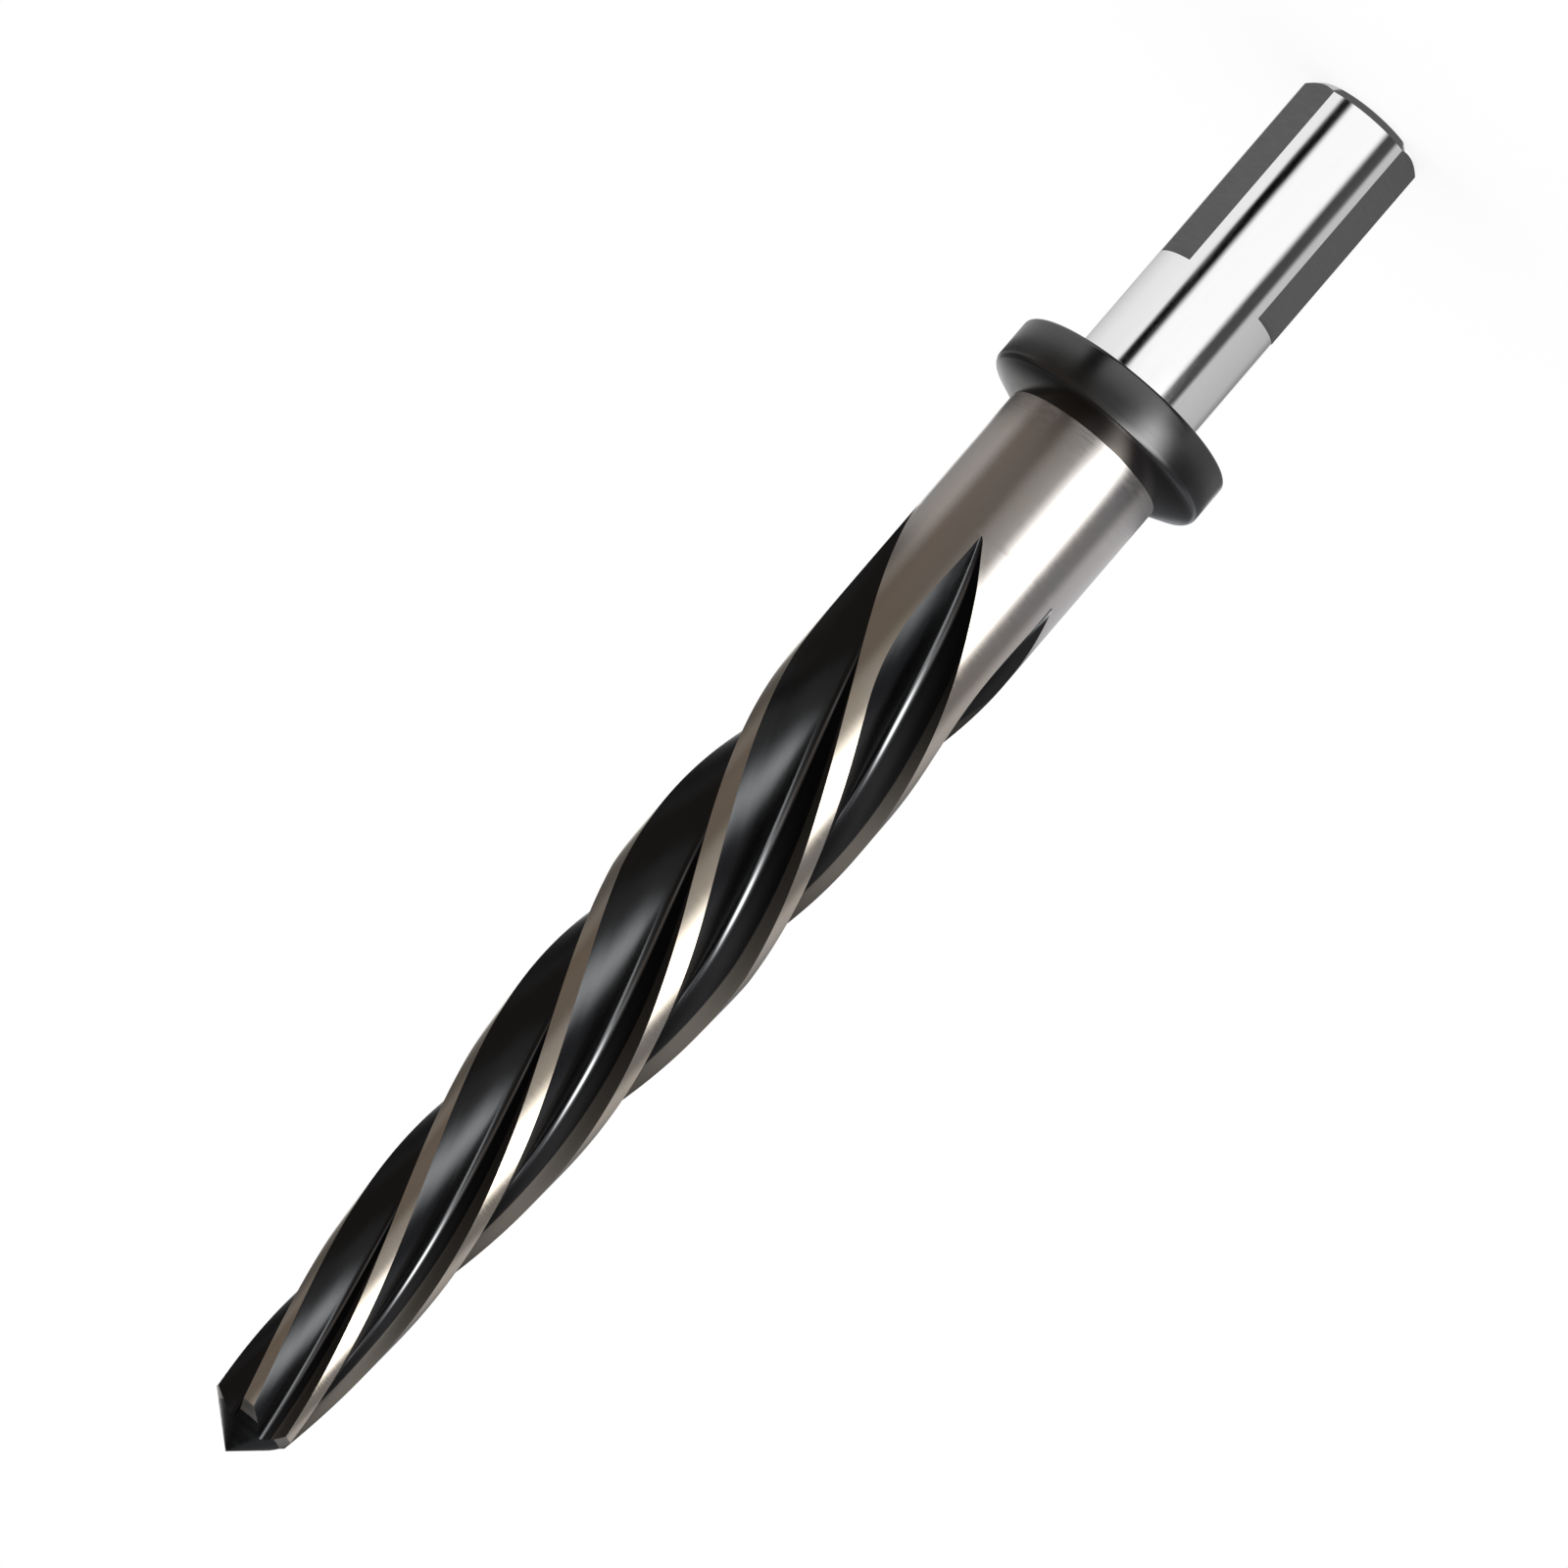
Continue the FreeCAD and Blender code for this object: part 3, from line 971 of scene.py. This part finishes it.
def card_strength(tree, turn, height, above_split):
    """Strength of the cards' light, brightest at the key light.

    Opposite the collar the cards beside the key are dim, and opposite the flutes those at both sides.
    """
    key = near(tree, turn, math.radians(KEY_TURN), math.radians(KEY_REACH))
    lit = add_node(tree, "ShaderNodeMath", (key, above_split), operation="MULTIPLY")
    strength = add_node(tree, "ShaderNodeMapRange", (lit, 0.0, 1.0, 1.0, KEY_STRENGTH))
    beside_key = add_node(tree, "ShaderNodeMapRange", (key, 0.0, 1.0, 1.0, 0.0))
    below_end = add_node(tree, "ShaderNodeMapRange", (height, *COLLAR_CARDS_END, 1.0, 0.0))
    opposite_collar = add_node(tree, "ShaderNodeMath", (below_end, above_split), operation="MULTIPLY")
    dim = add_node(tree, "ShaderNodeMath", (opposite_collar, beside_key), operation="MULTIPLY")
    strength = dimmed(tree, strength, dim, COLLAR_CARD_LEVEL)
    opposite_flutes = add_node(tree, "ShaderNodeMapRange", (height, *FLUTE_CARDS_START, 0.0, 1.0))
    left_side = near(tree, turn, math.radians(LEFT_TURN), math.radians(SIDE_REACH))
    right_side = near(tree, turn, math.radians(RIGHT_TURN), math.radians(SIDE_REACH))
    sides = add_node(tree, "ShaderNodeMath", (left_side, right_side), operation="ADD")
    dim = add_node(tree, "ShaderNodeMath", (opposite_flutes, sides), operation="MULTIPLY")
    return dimmed(tree, strength, dim, SIDE_CARD_LEVEL)


def card_material():
    """Light of the reflection cards: bands round the axis, one set for the shank, one with the key light."""
    material, tree = new_material("reflection_cards")
    where = add_node(tree, "ShaderNodeTexCoord").outputs["Object"]
    parts = add_node(tree, "ShaderNodeSeparateXYZ", {"Vector": where}).outputs
    to_left = add_node(tree, "ShaderNodeMath", (parts["X"], -1.0), operation="MULTIPLY")
    to_front = add_node(tree, "ShaderNodeMath", (parts["Y"], -1.0), operation="MULTIPLY")
    turn = add_node(tree, "ShaderNodeMath", (to_left, to_front), operation="ARCTAN2")
    place_along = add_node(tree, "ShaderNodeMapRange", (turn, -math.pi, math.pi, 0.0, 1.0))
    above_split = add_node(tree, "ShaderNodeMapRange", (parts["Z"], *CARD_SPLIT, 0.0, 1.0))
    below, above = (card_bands(tree, place_along, bands) for bands in (SHANK_BANDS, NECK_BANDS))
    tint = add_node(tree, "ShaderNodeMix", (above_split, below, above), data_type="RGBA")
    strength = card_strength(tree, turn, parts["Z"], above_split)
    light = add_node(tree, "ShaderNodeEmission", {"Color": tint, "Strength": strength})
    add_node(tree, "ShaderNodeOutputMaterial", {"Surface": light})
    return material


def lid_material(name, code):
    """Plain light of one of the cards that close the ring."""
    material, tree = new_material(name)
    light = add_node(tree, "ShaderNodeEmission", {"Color": (*linear(code), 1), "Strength": 1.0})
    add_node(tree, "ShaderNodeOutputMaterial", {"Surface": light})
    return material


def stage_world(scene):
    """Plain white surroundings, which are also the soft light on everything."""
    world = bpy.data.worlds.new("studio")
    scene.world = world
    tree = empty_tree(world)
    white = add_node(tree, "ShaderNodeBackground", {"Color": (*linear(WHITE), 1), "Strength": 1.0})
    add_node(tree, "ShaderNodeOutputWorld", {"Surface": white})


def floor_material():
    """Matt white paper with an even glow that only the camera sees: white, with a faint shadow.

    Mirrors look past the floor to the white surroundings, so the glow leaves them out.
    """
    glow_share, glow = 0.8, 1.03
    material, tree = new_material("white_paper")
    seen = add_node(tree, "ShaderNodeLightPath").outputs["Is Camera Ray"]
    glow_seen = add_node(tree, "ShaderNodeMath", (seen, glow_share), operation="MULTIPLY")
    matt = add_node(tree, "ShaderNodeBsdfDiffuse", {"Color": (*linear(PAPER), 1)})
    light = add_node(tree, "ShaderNodeEmission", {"Color": (*linear(WHITE), 1), "Strength": glow})
    mixed = add_node(tree, "ShaderNodeMixShader", (glow_seen, matt, light))
    add_node(tree, "ShaderNodeOutputMaterial", {"Surface": mixed})
    return material


def stage_floor():
    """Plain white floor under the shank's end, 3 metres wide."""
    half = 1.5
    corners = [(-half, -half, 0), (half, -half, 0), (half, half, 0), (-half, half, 0)]
    mesh = bpy.data.meshes.new("studio_floor")
    mesh.from_pydata(corners, [], [(0, 1, 2, 3)])
    mesh.materials.append(floor_material())
    floor = place("studio_floor", mesh)
    floor.visible_glossy = False


def hide_card(card):
    """Let a card be seen in mirrors only."""
    card.visible_camera = False
    card.visible_diffuse = False
    card.visible_transmission = False
    card.visible_shadow = False


def stage_cards(radius):
    """Ring of reflection cards round the tool, closed by a grey card below and a darker one above."""
    low, middle, high = -60, 30, 260
    columns = 96
    reach = radius / MM
    turns = span(360, 0, columns)
    skin = Skin()
    skin.add_rows([[polar(reach, turn, height) for turn in turns] for height in (low, middle, high)], 0)
    ring = skin.mesh("studio_cards")
    ring.materials.append(card_material())
    hide_card(place("studio_cards", ring))
    for name, height, code in (("studio_card_below", low, "5A5A5A"), ("studio_card_above", high, "464646")):
        lid = Skin()
        lid.add_rows([[polar(distance, turn, height) for turn in turns] for distance in (0, reach)], 0)
        mesh = lid.mesh(name)
        mesh.materials.append(lid_material(name, code))
        hide_card(place(name, mesh))


def stage_camera(scene, sizes):
    """Camera at the photograph's angle, turned so that the tool lies across the picture.

    It is placed so that the tool's tip falls on its pixel in the photograph.
    """
    picture_side = 1600
    tip_pixel = (230, 1481)
    tilt, roll = sizes.view_tilt, sizes.view_roll
    back = Vector((0, -math.cos(tilt), math.sin(tilt)))
    rise = Vector((0, math.sin(tilt), math.cos(tilt)))
    side = Vector((1, 0, 0))
    right = math.cos(roll) * side + math.sin(roll) * rise
    top = -math.sin(roll) * side + math.cos(roll) * rise
    middle = Vector((0, 0, BODY_HIGH.z / 2))
    tip = Vector((0, 0, BODY_HIGH.z))
    scale = sizes.frame_width / picture_side * (1 - (tip - middle).dot(back) / sizes.camera_distance)
    across = (tip_pixel[0] - picture_side / 2) * scale
    down = (tip_pixel[1] - picture_side / 2) * scale
    aim = middle + right * ((tip - middle).dot(right) - across) + top * ((tip - middle).dot(top) + down)
    data = bpy.data.cameras.new("photo_camera")
    data.sensor_width = 36
    data.lens = data.sensor_width * sizes.camera_distance / sizes.frame_width
    data.clip_start, data.clip_end = 0.1, 10
    camera = bpy.data.objects.new("photo_camera", data)
    scene.collection.objects.link(camera)
    camera.matrix_world = Matrix.Translation(aim + back * sizes.camera_distance) @ Matrix(
        (right, top, back)
    ).transposed().to_4x4()
    scene.camera = camera


class REAMER_OT_studio(bpy.types.Operator):
    """Build the surroundings, the floor, the reflection cards and the camera"""

    bl_idname = "reamer.studio"
    bl_label = "Studio"

    def execute(self, context):
        scene = context.scene
        sizes = scene.reamer_studio
        stage_world(scene)
        stage_floor()
        stage_cards(sizes.card_radius)
        stage_camera(scene, sizes)
        scene.view_settings.view_transform = "Standard"
        return {"FINISHED"}


class REAMER_PT_panel(bpy.types.Panel):
    """Lists the sizes, the finishes and the steps that build the tool"""

    bl_idname = "REAMER_PT_panel"
    bl_label = "Bridge reamer"
    bl_space_type = "VIEW_3D"
    bl_region_type = "UI"
    bl_category = "Reamer"

    def draw(self, context):
        for group, _ in SETTINGS:
            box = self.layout.box()
            settings = getattr(context.scene, group)
            for name in settings.__annotations__:
                box.prop(settings, name)
        for step in STEPS:
            self.layout.operator(step.bl_idname)


SETTINGS = (
    ("reamer_flutes", FluteSizes),
    ("reamer_shank", ShankSizes),
    ("reamer_collar", CollarSizes),
    ("reamer_finishes", Finishes),
    ("reamer_studio", StudioSizes),
)
STEPS = (REAMER_OT_fluted_body, REAMER_OT_shank, REAMER_OT_collar, REAMER_OT_studio)


def register():
    """Register the settings, the steps and the panel."""
    for name, group in SETTINGS:
        bpy.utils.register_class(group)
        setattr(bpy.types.Scene, name, bpy.props.PointerProperty(type=group))
    for cls in STEPS + (REAMER_PT_panel,):
        bpy.utils.register_class(cls)


def unregister():
    """Take back everything that register adds."""
    for cls in (REAMER_PT_panel,) + STEPS[::-1]:
        bpy.utils.unregister_class(cls)
    for name, group in SETTINGS[::-1]:
        delattr(bpy.types.Scene, name)
        bpy.utils.unregister_class(group)


def main():
    """Build the tool and its studio."""
    register()
    bpy.ops.reamer.fluted_body()
    bpy.ops.reamer.shank()
    bpy.ops.reamer.collar()
    bpy.ops.reamer.studio()


if __name__ == "__main__":
    main()
